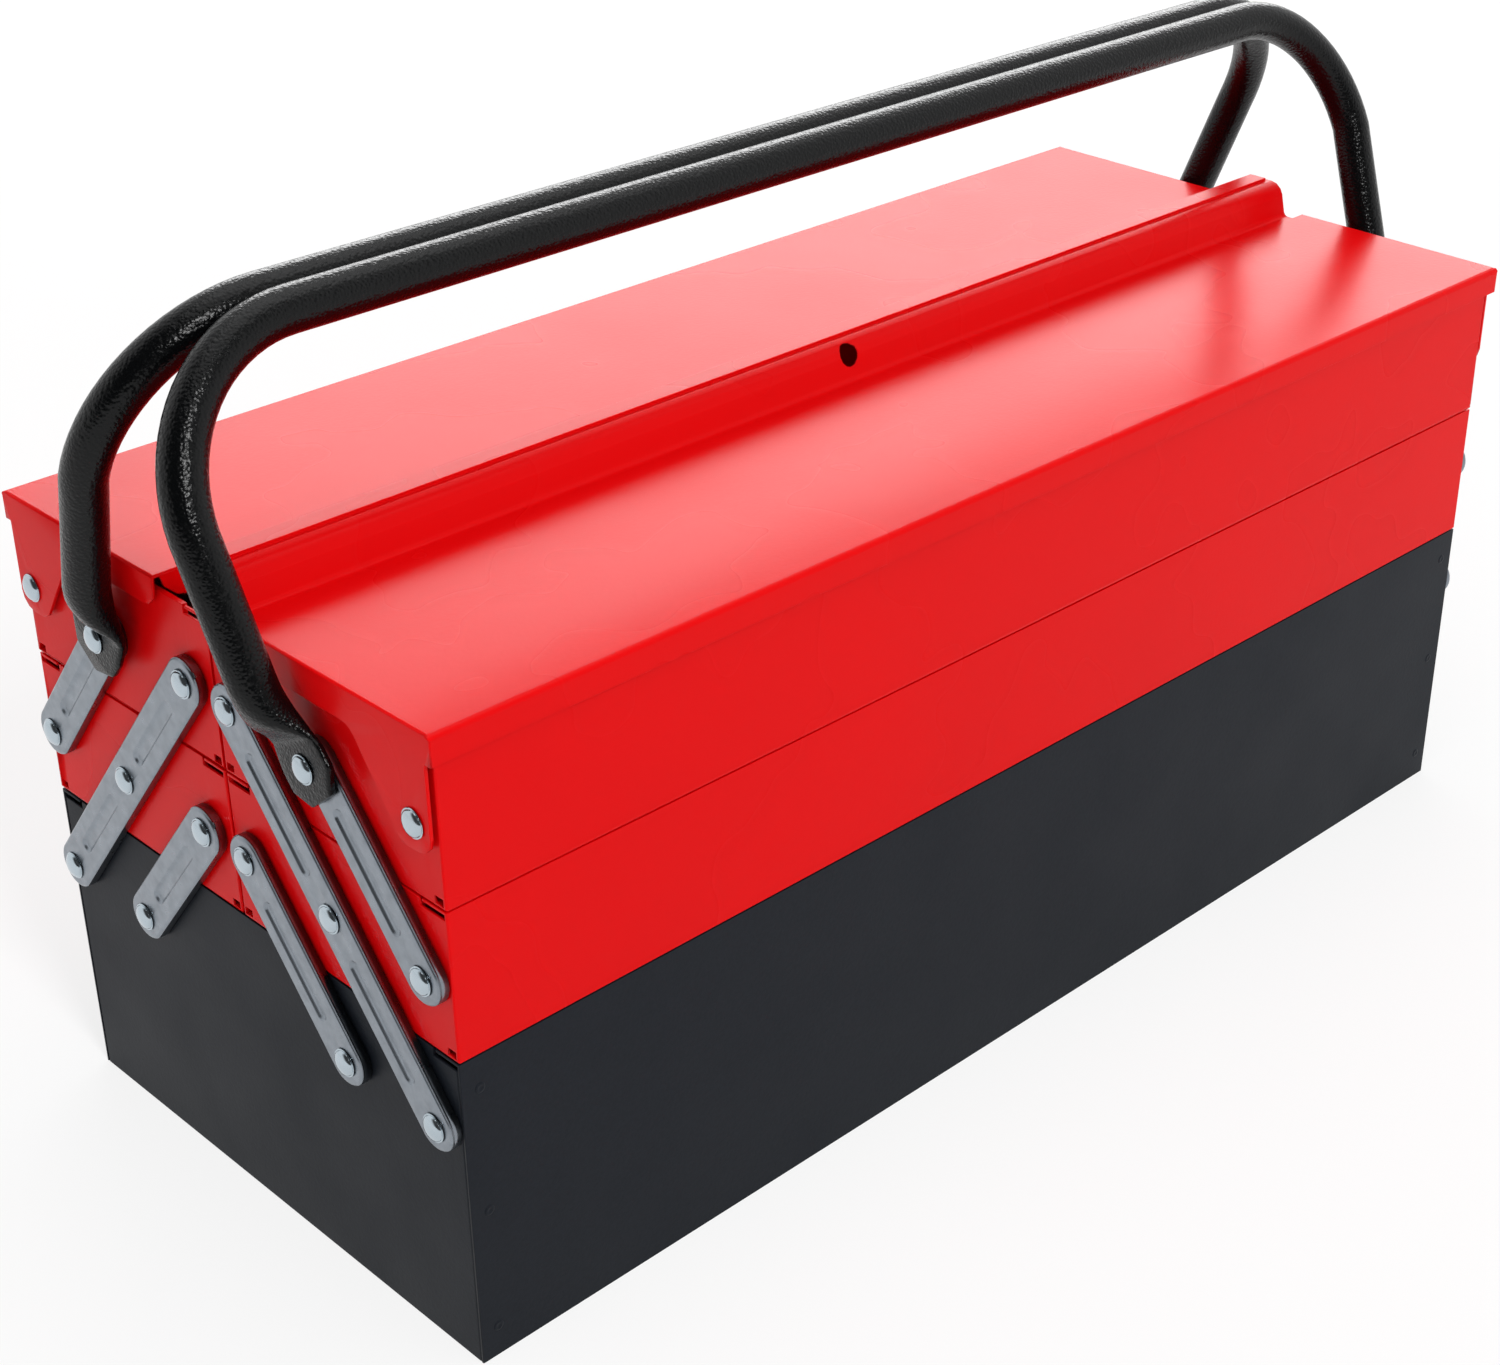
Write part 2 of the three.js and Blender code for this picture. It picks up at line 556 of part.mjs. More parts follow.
// The rings of one half of a handle, from the flat tip of its right end to the end of the bend.
// Each holds its centre, its half width, and half its thickness where it is squashed.
function handleRings() {
  const tube = HANDLE_TUBE / 2;
  const flat = HANDLE_FLAT / 2;
  const wide = HANDLE_FLAT_WIDTH / 2;
  const barY = tube + HANDLE_GAP / 2;
  const knee = new THREE.Vector3(
    HALF_LENGTH + HANDLE_KNEE_SPREAD,
    COLUMN_MIDDLE - HANDLE_KNEE_INWARD,
    LEVEL_UPPER + HANDLE_KNEE_RISE,
  );
  const shoulder = new THREE.Vector3(
    HALF_LENGTH + HANDLE_SHOULDER_SPREAD,
    barY + HANDLE_SHOULDER_OUTWARD,
    HANDLE_HEIGHT - HANDLE_SHOULDER_DROP,
  );
  const corner = new THREE.Vector3(HALF_LENGTH + HANDLE_SPREAD, barY, HANDLE_HEIGHT);

  const rivetPoint = new THREE.Vector3(0, COLUMN_MIDDLE, LEVEL_UPPER);
  const along = new THREE.Vector3(0, -Math.sin(LINK_LEAN), Math.cos(LINK_LEAN));
  const flatRing = (distance, halfWidth) => ({
    centre: rivetPoint.clone().addScaledVector(along, distance).setX(FLAT_INNER_X + flat),
    wide: halfWidth,
    thick: flat,
  });
  const neck = rivetPoint.clone().addScaledVector(along, HANDLE_FLAT_NECK);
  const swellRing = (share, halfWidth, thick) => ({
    centre: neck.clone().lerp(knee, share).setX(FLAT_INNER_X + thick),
    wide: halfWidth,
    thick,
  });
  const rings = [
    flatRing(-HANDLE_FLAT_TIP, wide * 0.5),
    flatRing(-HANDLE_FLAT_TIP * 0.35, wide),
    flatRing(HANDLE_FLAT_NECK * 0.35, wide),
    flatRing(HANDLE_FLAT_NECK, wide * 0.88),
    swellRing(0.25, wide * 0.78, flat + (tube - flat) * 0.3),
    swellRing(0.55, wide * 0.64, flat + (tube - flat) * 0.8),
    { centre: knee, wide: tube, thick: tube },
  ];

  // The bend is an arc between the straight leg and the bar, starting at the shoulder.
  const up = corner.clone().sub(shoulder).normalize();
  const across = new THREE.Vector3(-1, 0, 0);
  const turn = up.angleTo(across);
  const reach = HANDLE_BEND * Math.tan(turn / 2);
  const bendCentre = corner.clone()
    .addScaledVector(across, reach)
    .addScaledVector(across.clone().cross(up).cross(across).normalize(), -HANDLE_BEND);
  const spoke = corner.clone().addScaledVector(up, -reach).sub(bendCentre);
  const pivot = spoke.clone().cross(up).normalize();
  for (let step = 0; step <= HANDLE_BEND_STEPS; step += 1) {
    const angle = (turn * step) / HANDLE_BEND_STEPS;
    rings.push({
      centre: spoke.clone().applyAxisAngle(pivot, angle).add(bendCentre),
      wide: tube,
      thick: tube,
    });
  }
  return rings;
}

// A round bar along Z, divided along its length, is moved ring by ring onto the handle's line.
function handle() {
  const half = handleRings();
  const otherHalf = half.map((ring) => ({
    ...ring,
    centre: ring.centre.clone().setX(-ring.centre.x),
  })).reverse();
  const rings = [...half, ...otherHalf];
  const count = rings.length;
  const geometry = new THREE.CylinderGeometry(1, 1, count - 1, ROUND_SIDES, count - 1);
  geometry.rotateX(Math.PI / 2);
  geometry.translate(0, 0, (count - 1) / 2);
  const place = geometry.attributes.position;
  for (let i = 0; i < place.count; i += 1) {
    const n = Math.round(place.getZ(i));
    const ring = rings[n];
    const before = rings[Math.max(n - 1, 0)].centre;
    const after = rings[Math.min(n + 1, count - 1)].centre;
    const along = after.clone().sub(before).normalize();
    const width = new THREE.Vector3(0, along.z, -along.y).normalize();
    if (width.y < 0) width.negate();
    const depth = along.clone().cross(width);
    const level = THREE.MathUtils.clamp(place.getY(i) * ring.wide, -ring.thick, ring.thick);
    const point = ring.centre.clone()
      .addScaledVector(width, place.getX(i) * ring.wide)
      .addScaledVector(depth, level);
    place.setXYZ(i, point.x, point.y, point.z);
  }
  const holes = ENDS.map(([, end]) => drill(
    end * (FLAT_INNER_X - 1),
    end * (FLAT_OUTER_X + 1),
    COLUMN_MIDDLE,
    LEVEL_UPPER,
    HOLE_RADIUS,
  ));
  return cut(solidOf(geometry), holes);
}

// ---- Assembly ----

const toolbox = new THREE.Group();

function add(parent, name, geometry, material) {
  const mesh = new THREE.Mesh(geometry, material);
  mesh.name = name;
  parent.add(mesh);
  return mesh;
}

function addSolid(parent, name, solid, material) {
  return add(parent, name, geometryOf(solid), material);
}

addSolid(toolbox, 'base_shell', baseShell(), blackCoat);
for (const [endName, end] of ENDS) addSolid(toolbox, `base_end_${endName}`, baseEnd(end), blackCoat);

const lids = { front: frontLid(), rear: rearLid() };
const rivetOverLink = rivet(LINK_FACE_X - LINK_SHEET, LINK_FACE_X);
const rivetOverHandle = rivet(LINK_FACE_X - LINK_SHEET, FLAT_OUTER_X);
const rivetOverLid = rivet(LID_FLAP_INNER_X, LID_HALF_LENGTH);

// Rivets by name: where each stands in depth and height, and its shape.
const RIVETS = [
  ['long_link_base', COLUMN_OUTER, LEVEL_BASE, rivetOverLink],
  ['long_link_lower_tray', COLUMN_MIDDLE, LEVEL_LOWER, rivetOverLink],
  ['long_link_upper_tray', COLUMN_INNER, LEVEL_UPPER, rivetOverLink],
  ['lower_link_base', COLUMN_MIDDLE, LEVEL_BASE, rivetOverLink],
  ['lower_link_tray', COLUMN_INNER, LEVEL_LOWER, rivetOverLink],
  ['handle_link_tray', COLUMN_OUTER, LEVEL_LOWER, rivetOverLink],
  ['handle', COLUMN_MIDDLE, LEVEL_UPPER, rivetOverHandle],
  ['lid', LID_PIVOT_V, LID_PIVOT_Z, rivetOverLid],
];

// Links by name: where the lowest pivot stands, and how many tiers the link spans.
const LINKS = [
  ['long_link', COLUMN_OUTER, LEVEL_BASE, 2],
  ['handle_link', COLUMN_OUTER, LEVEL_LOWER, 1],
  ['lower_link', COLUMN_MIDDLE, LEVEL_BASE, 1],
];
const linkSolids = { 1: link(1), 2: link(2) };

const LOWER_PIVOTS = [
  [COLUMN_INNER, LEVEL_LOWER],
  [COLUMN_MIDDLE, LEVEL_LOWER],
  [COLUMN_OUTER, LEVEL_LOWER],
];
const UPPER_PIVOTS = [
  [COLUMN_INNER, LEVEL_UPPER],
  [COLUMN_MIDDLE, LEVEL_UPPER],
  [LID_PIVOT_V, LID_PIVOT_Z],
];

for (const [sideName, side] of SIDES) {
  addSolid(toolbox, `${sideName}_lower_tray`, tray(side, LOWER_TRAY_Z, LOWER_PIVOTS), redCoat);
  addSolid(toolbox, `${sideName}_upper_tray`, tray(side, UPPER_TRAY_Z, UPPER_PIVOTS), redCoat);
  addSolid(toolbox, `${sideName}_lid`, lids[sideName], redCoat);

  const handleHolder = new THREE.Group();
  handleHolder.rotation.z = side < 0 ? Math.PI : 0;
  addSolid(handleHolder, `${sideName}_handle`, handle(), handleCoat);
  toolbox.add(handleHolder);

  // A link is drawn for the right end, upright, and leaned over its lowest pivot. Turning it half
  // round about Z puts it on the left end.
  for (const [linkName, column, level, spans] of LINKS) {
    for (const [endName, end] of ENDS) {
      const name = `${sideName}_${linkName}_${endName}`;
      const mesh = addSolid(toolbox, name, linkSolids[spans], zinc);
      mesh.position.set(0, side * column, level);
      mesh.rotation.set(side * LINK_LEAN, 0, end < 0 ? Math.PI : 0);
    }
  }

  for (const [rivetName, column, level, shape] of RIVETS) {
    for (const [endName, end] of ENDS) {
      const mesh = add(toolbox, `${sideName}_${rivetName}_rivet_${endName}`, shape, rivetSteel);
      mesh.position.set(end * HALF_LENGTH, side * column, level);
      mesh.rotation.z = (-end * Math.PI) / 2;
    }
  }
}

export default toolbox;
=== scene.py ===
"""Finishes a sheet-steel cantilever toolbox: painted sheets with rounded folds, pressed links,
set rivets and bent tube handles, on a plain stage. Everything is in metres, in the frame of the
model."""

import json
import math

import bmesh
import bpy
from bpy.props import FloatProperty, FloatVectorProperty, PointerProperty
from mathutils import Matrix, Vector

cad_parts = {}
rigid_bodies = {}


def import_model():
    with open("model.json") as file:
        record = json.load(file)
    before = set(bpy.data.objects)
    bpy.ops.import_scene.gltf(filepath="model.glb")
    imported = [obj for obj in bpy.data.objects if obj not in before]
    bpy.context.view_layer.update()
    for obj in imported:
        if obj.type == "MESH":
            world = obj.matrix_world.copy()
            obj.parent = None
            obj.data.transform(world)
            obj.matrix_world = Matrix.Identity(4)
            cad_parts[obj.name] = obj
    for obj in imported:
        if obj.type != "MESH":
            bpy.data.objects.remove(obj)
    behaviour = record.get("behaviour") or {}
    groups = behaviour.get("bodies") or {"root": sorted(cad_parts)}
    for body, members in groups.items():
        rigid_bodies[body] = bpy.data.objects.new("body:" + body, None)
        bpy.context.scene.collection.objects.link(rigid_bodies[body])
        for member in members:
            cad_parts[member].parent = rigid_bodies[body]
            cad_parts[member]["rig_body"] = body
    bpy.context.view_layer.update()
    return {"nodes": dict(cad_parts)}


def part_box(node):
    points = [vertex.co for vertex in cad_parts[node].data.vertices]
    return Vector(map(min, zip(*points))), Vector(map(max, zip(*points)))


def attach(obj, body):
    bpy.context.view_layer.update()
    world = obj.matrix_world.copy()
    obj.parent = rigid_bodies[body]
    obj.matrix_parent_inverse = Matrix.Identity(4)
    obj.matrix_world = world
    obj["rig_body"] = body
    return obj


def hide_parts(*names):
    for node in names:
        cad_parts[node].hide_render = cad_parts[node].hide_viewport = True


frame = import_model()

bl_info = {
    "name": "Cantilever Toolbox",
    "version": (1, 0, 0),
    "blender": (4, 5, 0),
    "location": "View3D > Sidebar > Toolbox",
    "description": "Paint, folds, links, rivets and handles of a sheet-steel cantilever toolbox",
    "category": "Object",
}

MM = 0.001
SIDES = ("front", "rear")
ENDS = ("left", "right")
LINK_SPANS = {"long_link": 2, "lower_link": 1, "handle_link": 1}

# What a sheet's edges are told apart by.
LEVEL_ANGLE = math.radians(0.5)
CORNER_ANGLE = math.radians(35)
HOLE_EDGE = 5 * MM
NARROW_STRIP = 2.6 * MM
END_FOLD = 50 * MM

# How a handle's flattened end turns into its tube, by the distance up from the pivot in mm: the
# share of the way from flat to round, the width as a share of the flat's width and then of the
# tube's, and the power that squares the section.
PAD_OPENS = (
    (9, 0),
    (11.5, 0.125),
    (14.1, 0.3),
    (17, 0.56),
    (20.3, 0.8),
    (25, 0.94),
    (29.6, 1),
)
PAD_NARROWS = (
    (-11, 0.47),
    (-10.6, 0.52),
    (-4.2, 0.985),
    (-3.6, 1),
    (2.8, 1),
    (3.6, 0.985),
    (9, 0.88),
    (14.1, 0.78),
    (20.3, 0.645),
)
TUBE_NARROWS = ((25, 1.05), (29.6, 1))
PAD_ROUNDS = ((-11, 0.32), (9, 0.36), (16, 0.6), (26, 1))
TIP_THINNING = 0.8
BEND_STEPS = 18

# The share of the floor seen as plain white, how bright the room behind the camera is, and the
# way from the box to that room.
WHITE_SHARE = 0.72
DIM_ROOM = 0.06
TOWARD_CAMERA = (-0.6, -0.55, 0.58)

# Name, place, point that it faces, width, height and brightness of each softbox.
SOFTBOXES = (
    ("overhead_softbox", (0.1, -0.1, 2.1), (0, 0, 0.2), 2.0, 1.6, 1.25),
    ("back_softbox", (1.35, 1.35, 1.05), (0.05, 0, 0.23), 2.0, 0.9, 5.0),
    ("front_softbox", (-0.65, -1.88, 1.7), (0, 0, 0.15), 0.5, 0.5, 29),
)

CAMERA_LENS = 62.08
CAMERA_SHIFT = (-0.033, 0.0253)
CAMERA_PLACE = (-0.6260, -0.6272, 0.5891)
CAMERA_TURN = (60.4097, 0.1438, -44.4792)


def linear(code):
    """An sRGB hex colour as linear RGB."""
    parts = [int(code[i : i + 2], 16) / 255 for i in (1, 3, 5)]
    return [p / 12.92 if p <= 0.04045 else ((p + 0.055) / 1.055) ** 2.4 for p in parts]


# ---- Sizes and finishes that a user would change ----


def length(name, millimetres, description):
    return FloatProperty(
        name=name,
        description=description,
        default=millimetres * MM,
        min=0,
        precision=5,
        subtype="DISTANCE",
        unit="LENGTH",
    )


def colour(name, code, description):
    return FloatVectorProperty(
        name=name,
        description=description,
        default=linear(code),
        size=3,
        min=0,
        max=1,
        subtype="COLOR",
    )


class ToolboxSheetSizes(bpy.types.PropertyGroup):
    fold_radius: length("Fold radius", 0.65, "Outer radius of a folded edge")
    lid_end_radius: length("Lid end radius", 1.1, "Outer radius of the folds at a lid's ends")
    cut_radius: length("Cut edge radius", 0.2, "How far the paint rounds a cut edge")
    weld_radius: length("Weld mark radius", 2.1, "Radius of a spot weld's mark in a wall")
    weld_height: length("Weld mark height", 0.22, "Height of the rim around a spot weld's mark")
    weld_inset: length("Weld mark inset", 7, "Distance of the spot welds from a wall's ends")


class ToolboxLinkSizes(bpy.types.PropertyGroup):
    end_radius: length("End radius", 8.8, "Radius of a link's ends, half its width")
    sheet: length("Sheet", 1.2, "Thickness of a link's sheet")
    shoulder: length("Shoulder radius", 1.3, "Rounding where a link's face turns into its rim")
    bead_width: length("Bead width", 6.2, "Width of the bead pressed into a link's face")
    bead_depth: length("Bead depth", 1.05, "Depth of the bead")
    bead_end: length("Bead end", 14, "Distance from a pivot to the end of the bead")
    hole_radius: length("Hole radius", 2.95, "Radius of a pivot hole")
    rivet_radius: length("Rivet head radius", 5, "Radius of a rivet's head")
    rivet_head: length("Rivet head height", 2, "Height of a rivet's head")
    rivet_brim: length("Rivet brim", 0.55, "Width of the flat brim around a rivet's dome")
    rivet_shank: length("Rivet shank radius", 2.6, "Radius of a rivet's shank")
    rivet_collar: length("Rivet collar radius", 4.2, "Radius of the collar behind the sheet")
    rivet_tail: length("Rivet tail radius", 4, "Radius of the set tail")
    tail_height: length("Rivet tail height", 1.4, "Height of the set tail")


class ToolboxHandleSizes(bpy.types.PropertyGroup):
    tube: length("Tube", 15, "Diameter of the handle's tube")
    bend: length("Bend radius", 53.6, "Radius of the two bends at the bar's ends")
    leg_reach: length("Leg reach", 53.5, "Distance from a bend's corner down to its start")
    leg_lean: length("Leg lean", 22, "How far the leg runs outward over that distance")
    knee_inward: length("Knee inward", 12.6, "Distance from the rivet in to where the leg starts")
    knee_rise: length("Knee rise", 26.3, "Height of that place above the rivet")
    pad_width: length("Pad width", 26.5, "Width of the flattened end")
    pad_thickness: length("Pad thickness", 3, "Thickness of the flattened end")
    pad_tip: length("Pad tip", 11, "Distance from the rivet to the flattened end's tip")
    pad_neck: length("Pad neck", 9, "Distance from the rivet to where the tube opens out")
    pad_gap: length("Pad gap", 0.3, "Running gap between the flattened end and its link")


class ToolboxFinishes(bpy.types.PropertyGroup):
    red: colour("Red", "#E4060A", "Powder coat of the trays and lids")
    charcoal: colour("Charcoal", "#1A1E25", "Powder coat of the base")
    black: colour("Black", "#040506", "Textured coat of the handles")
    zinc: colour("Zinc", "#8E959D", "Plating of the links")
    steel: colour("Rivet steel", "#B4C0C8", "Polished plating of the rivets")
    floor: colour("Floor", "#F4F4F4", "The stage's floor")


# ---- Materials ----


def node(tree, kind, inputs=None, **settings):
    """Adds a node, with its settings, and with inputs that are values or other sockets."""
    new = tree.nodes.new(kind)
    for key, value in settings.items():
        setattr(new, key, value)
    for key, value in (inputs or {}).items():
        if isinstance(value, bpy.types.NodeSocket):
            tree.links.new(value, new.inputs[key])
        else:
            new.inputs[key].default_value = value
    return new


def material(name):
    """An empty node material, its output and the place on the piece in metres."""
    made = bpy.data.materials.new(name)
    made.use_nodes = True
    made.node_tree.nodes.clear()
    tree = made.node_tree
    return made, tree, node(tree, "ShaderNodeOutputMaterial"), node(tree, "ShaderNodeTexCoord")


def red_powder_coat(tint):
    """Mild-steel sheet with a sprayed and baked polyester powder coat. The coat flows out to a
    semi-gloss skin with a fine orange peel, so broad reflections stay soft and slightly uneven."""
    made, tree, output, place = material("red_powder_coat_on_steel")
    where = place.outputs["Object"]
    # Orange peel about 1.6 mm from crest to crest, and a slower waviness over 12 mm.
    peel = node(
        tree,
        "ShaderNodeTexNoise",
        {"Vector": where, "Scale": 1 / (1.6 * MM), "Detail": 2.0, "Roughness": 0.45},
    )
    wave = node(
        tree,
        "ShaderNodeTexNoise",
        {"Vector": where, "Scale": 1 / (12 * MM), "Detail": 1.0},
    )
    fine = node(
        tree,
        "ShaderNodeBump",
        {"Height": peel.outputs["Fac"], "Strength": 0.6, "Distance": 0.06 * MM},
    )
    both = node(
        tree,
        "ShaderNodeBump",
        {
            "Height": wave.outputs["Fac"],
            "Strength": 0.4,
            "Distance": 0.06 * MM,
            "Normal": fine.outputs["Normal"],
        },
    )
    # The film is a little thicker in some places, which shows as a slow change of depth.
    film = node(
        tree,
        "ShaderNodeTexNoise",
        {"Vector": where, "Scale": 1 / (70 * MM), "Detail": 2.0},
    )
    shade = node(
        tree,
        "ShaderNodeMapRange",
        {
            "Value": film.outputs["Fac"],
            "From Min": 0.2,
            "From Max": 0.8,
            "To Min": 0.95,
            "To Max": 1.0,
        },
    )
    body = node(
        tree,
        "ShaderNodeMix",
        {"Factor": 1.0, "A": (*tint, 1), "B": shade.outputs["Result"]},
        data_type="RGBA",
        blend_type="MULTIPLY",
    )
    gloss = node(
        tree,
        "ShaderNodeMapRange",
        {
            "Value": film.outputs["Fac"],
            "From Min": 0.2,
            "From Max": 0.8,
            "To Min": 0.25,
            "To Max": 0.30,
        },
    )
    paint = node(
        tree,
        "ShaderNodeBsdfPrincipled",
        {
            "Base Color": body.outputs["Result"],
            "Roughness": gloss.outputs["Result"],
            "IOR": 1.16,
            "Normal": both.outputs["Normal"],
        },
    )
    tree.links.new(paint.outputs["BSDF"], output.inputs["Surface"])
    return made


def charcoal_powder_coat(tint):
    """Mild-steel sheet with a fine-grained satin powder coat. The grain scatters the light, so the
    walls look even and softly lit, with a faint pepper in them close up."""
    made, tree, output, place = material("charcoal_satin_powder_coat")
    where = place.outputs["Object"]
    # Bumps of the powder that has flowed together, 1.5 mm from crest to crest.
    grain = node(
        tree,
        "ShaderNodeTexNoise",
        {"Vector": where, "Scale": 1 / (1.5 * MM), "Detail": 3.0, "Roughness": 0.6},
    )
    cloud = node(
        tree,
        "ShaderNodeTexNoise",
        {"Vector": where, "Scale": 1 / (45 * MM), "Detail": 3.0},
    )
    shade = node(
        tree,
        "ShaderNodeMapRange",
        {
            "Value": grain.outputs["Fac"],
            "From Min": 0.3,
            "From Max": 0.7,
            "To Min": 0.82,
            "To Max": 1.0,
        },
    )
    body = node(
        tree,
        "ShaderNodeMix",
        {"Factor": 1.0, "A": (*tint, 1), "B": shade.outputs["Result"]},
        data_type="RGBA",
        blend_type="MULTIPLY",
    )
    gloss = node(
        tree,
        "ShaderNodeMapRange",
        {
            "Value": cloud.outputs["Fac"],
            "From Min": 0.3,
            "From Max": 0.7,
            "To Min": 0.42,
            "To Max": 0.50,
        },
    )
    rough = node(
        tree,
        "ShaderNodeBump",
        {"Height": grain.outputs["Fac"], "Strength": 0.6, "Distance": 0.09 * MM},
    )
    paint = node(
        tree,
        "ShaderNodeBsdfPrincipled",
        {
            "Base Color": body.outputs["Result"],
            "Roughness": gloss.outputs["Result"],
            "IOR": 1.2,
            "Normal": rough.outputs["Normal"],
        },
    )
    tree.links.new(paint.outputs["BSDF"], output.inputs["Surface"])
    return made


def black_textured_coat(tint):
    """Steel tube with a glossy powder coat that shrinks into fine pebbles as it cures. Each pebble
    catches the light by itself, so highlights along the tube break up into small glints."""
    made, tree, output, place = material("black_pebbled_powder_coat")
    where = place.outputs["Object"]
    # Pebbles 1.1 mm across, softened by finer noise.
    pebbles = node(
        tree,
        "ShaderNodeTexVoronoi",
        {"Vector": where, "Scale": 1 / (1.1 * MM), "Smoothness": 0.5},
        feature="SMOOTH_F1",
    )
    fine = node(
        tree,
        "ShaderNodeTexNoise",
        {"Vector": where, "Scale": 1 / (0.7 * MM), "Detail": 2.0},
    )
    low = node(
        tree,
        "ShaderNodeBump",
        {"Height": pebbles.outputs["Distance"], "Strength": 0.8, "Distance": 0.2 * MM},
        invert=True,
    )
    high = node(
        tree,
        "ShaderNodeBump",
        {
            "Height": fine.outputs["Fac"],
            "Strength": 0.5,
            "Distance": 0.1 * MM,
            "Normal": low.outputs["Normal"],
        },
    )
    gloss = node(
        tree,
        "ShaderNodeMapRange",
        {
            "Value": fine.outputs["Fac"],
            "From Min": 0.3,
            "From Max": 0.7,
            "To Min": 0.20,
            "To Max": 0.28,
        },
    )
    paint = node(
        tree,
        "ShaderNodeBsdfPrincipled",
        {
            "Base Color": (*tint, 1),
            "Roughness": gloss.outputs["Result"],
            "IOR": 1.3,
            "Normal": high.outputs["Normal"],
        },
    )
    tree.links.new(paint.outputs["BSDF"], output.inputs["Surface"])
    return made


def zinc_plate(tint):
    """Pressed steel strip, barrel-plated with bright zinc. The plating is even but not polished:
    a soft satin metal with cloudy patches and faint rubbing marks from the barrel."""
    made, tree, output, place = material("satin_zinc_plated_steel")
    where = place.outputs["Object"]
    cloud = node(
        tree,
        "ShaderNodeTexNoise",
        {"Vector": where, "Scale": 1 / (5 * MM), "Detail": 4.0, "Roughness": 0.6},
    )
    # Rubbing marks about 0.5 mm wide and ten times as long.
    stretched = node(
        tree,
        "ShaderNodeMapping",
        {"Vector": where, "Rotation": (0.7, 0, 0), "Scale": (1, 1, 0.12)},
    )
    marks = node(
        tree,
        "ShaderNodeTexNoise",
        {"Vector": stretched.outputs["Vector"], "Scale": 1 / (0.6 * MM), "Detail": 3.0},
    )
    shade = node(
        tree,
        "ShaderNodeMapRange",
        {
            "Value": cloud.outputs["Fac"],
            "From Min": 0.3,
            "From Max": 0.7,
            "To Min": 0.82,
            "To Max": 1.0,
        },
    )
    body = node(
        tree,
        "ShaderNodeMix",
        {"Factor": 1.0, "A": (*tint, 1), "B": shade.outputs["Result"]},
        data_type="RGBA",
        blend_type="MULTIPLY",
    )
    gloss = node(
        tree,
        "ShaderNodeMapRange",
        {
            "Value": cloud.outputs["Fac"],
            "From Min": 0.3,
            "From Max": 0.7,
            "To Min": 0.36,
            "To Max": 0.26,
        },
    )
    rubbed = node(
        tree,
        "ShaderNodeBump",
        {"Height": marks.outputs["Fac"], "Strength": 0.3, "Distance": 0.02 * MM},
    )
    metal = node(
        tree,
        "ShaderNodeBsdfPrincipled",
        {
            "Base Color": body.outputs["Result"],
            "Metallic": 1.0,
            "Roughness": gloss.outputs["Result"],
            "Normal": rubbed.outputs["Normal"],
        },
    )
    tree.links.new(metal.outputs["BSDF"], output.inputs["Surface"])
    return made


def rivet_plate(tint):
    """Headed steel rivets, polished by the set that forms the dome and bright-plated. They mirror
    the room in small, sharp patches, with a few handling scratches."""
    made, tree, output, place = material("polished_plated_rivet_steel")
    scuffs = node(
        tree,
        "ShaderNodeTexNoise",
        {"Vector": place.outputs["Object"], "Scale": 1 / (0.8 * MM), "Detail": 3.0},
    )
    gloss = node(
        tree,
        "ShaderNodeMapRange",
        {
            "Value": scuffs.outputs["Fac"],
            "From Min": 0.35,
            "From Max": 0.7,
            "To Min": 0.10,
            "To Max": 0.20,
        },
    )
    worn = node(
        tree,
        "ShaderNodeBump",
        {"Height": scuffs.outputs["Fac"], "Strength": 0.3, "Distance": 0.02 * MM},
    )
    metal = node(
        tree,
        "ShaderNodeBsdfPrincipled",
        {
            "Base Color": (*tint, 1),
            "Metallic": 1.0,
            "Roughness": gloss.outputs["Result"],
            "Normal": worn.outputs["Normal"],
        },
    )
    tree.links.new(metal.outputs["BSDF"], output.inputs["Surface"])
    return made


def floor_paper(tint):
    """Seamless studio paper: matt and pale. Most of what the camera sees of it is plain white, so
    that it reads as a white ground and still keeps a soft shadow."""
    made, tree, output, place = material("matt_studio_paper")
    fibre = node(
        tree,
        "ShaderNodeTexNoise",
        {"Vector": place.outputs["Object"], "Scale": 1 / (3 * MM), "Detail": 2.0},
    )
    tooth = node(
        tree,
        "ShaderNodeBump",
        {"Height": fibre.outputs["Fac"], "Strength": 0.1, "Distance": 0.02 * MM},
    )
    matt = node(
        tree,
        "ShaderNodeBsdfDiffuse",
        {"Color": (*tint, 1), "Roughness": 0.9, "Normal": tooth.outputs["Normal"]},
    )
    white = node(tree, "ShaderNodeEmission", {"Color": (1, 1, 1, 1), "Strength": 1.0})
    share = node(tree, "ShaderNodeMath", {0: seen(tree), 1: WHITE_SHARE}, operation="MULTIPLY")
    both = node(
        tree,
        "ShaderNodeMixShader",
        {0: share.outputs[0], 1: matt.outputs["BSDF"], 2: white.outputs["Emission"]},
    )
    tree.links.new(both.outputs["Shader"], output.inputs["Surface"])
    return made


def seen(tree):
    """1 for the rays that show the ground: straight ones, mirrored ones and those through glass."""
    path = node(tree, "ShaderNodeLightPath")
    one = node(
        tree,
        "ShaderNodeMath",
        {0: path.outputs["Is Camera Ray"], 1: path.outputs["Is Glossy Ray"]},
        operation="MAXIMUM",
    )
    both = node(
        tree,
        "ShaderNodeMath",
        {0: one.outputs[0], 1: path.outputs["Is Transmission Ray"]},
        operation="MAXIMUM",
    )
    return both.outputs[0]


# ---- Pieces ----


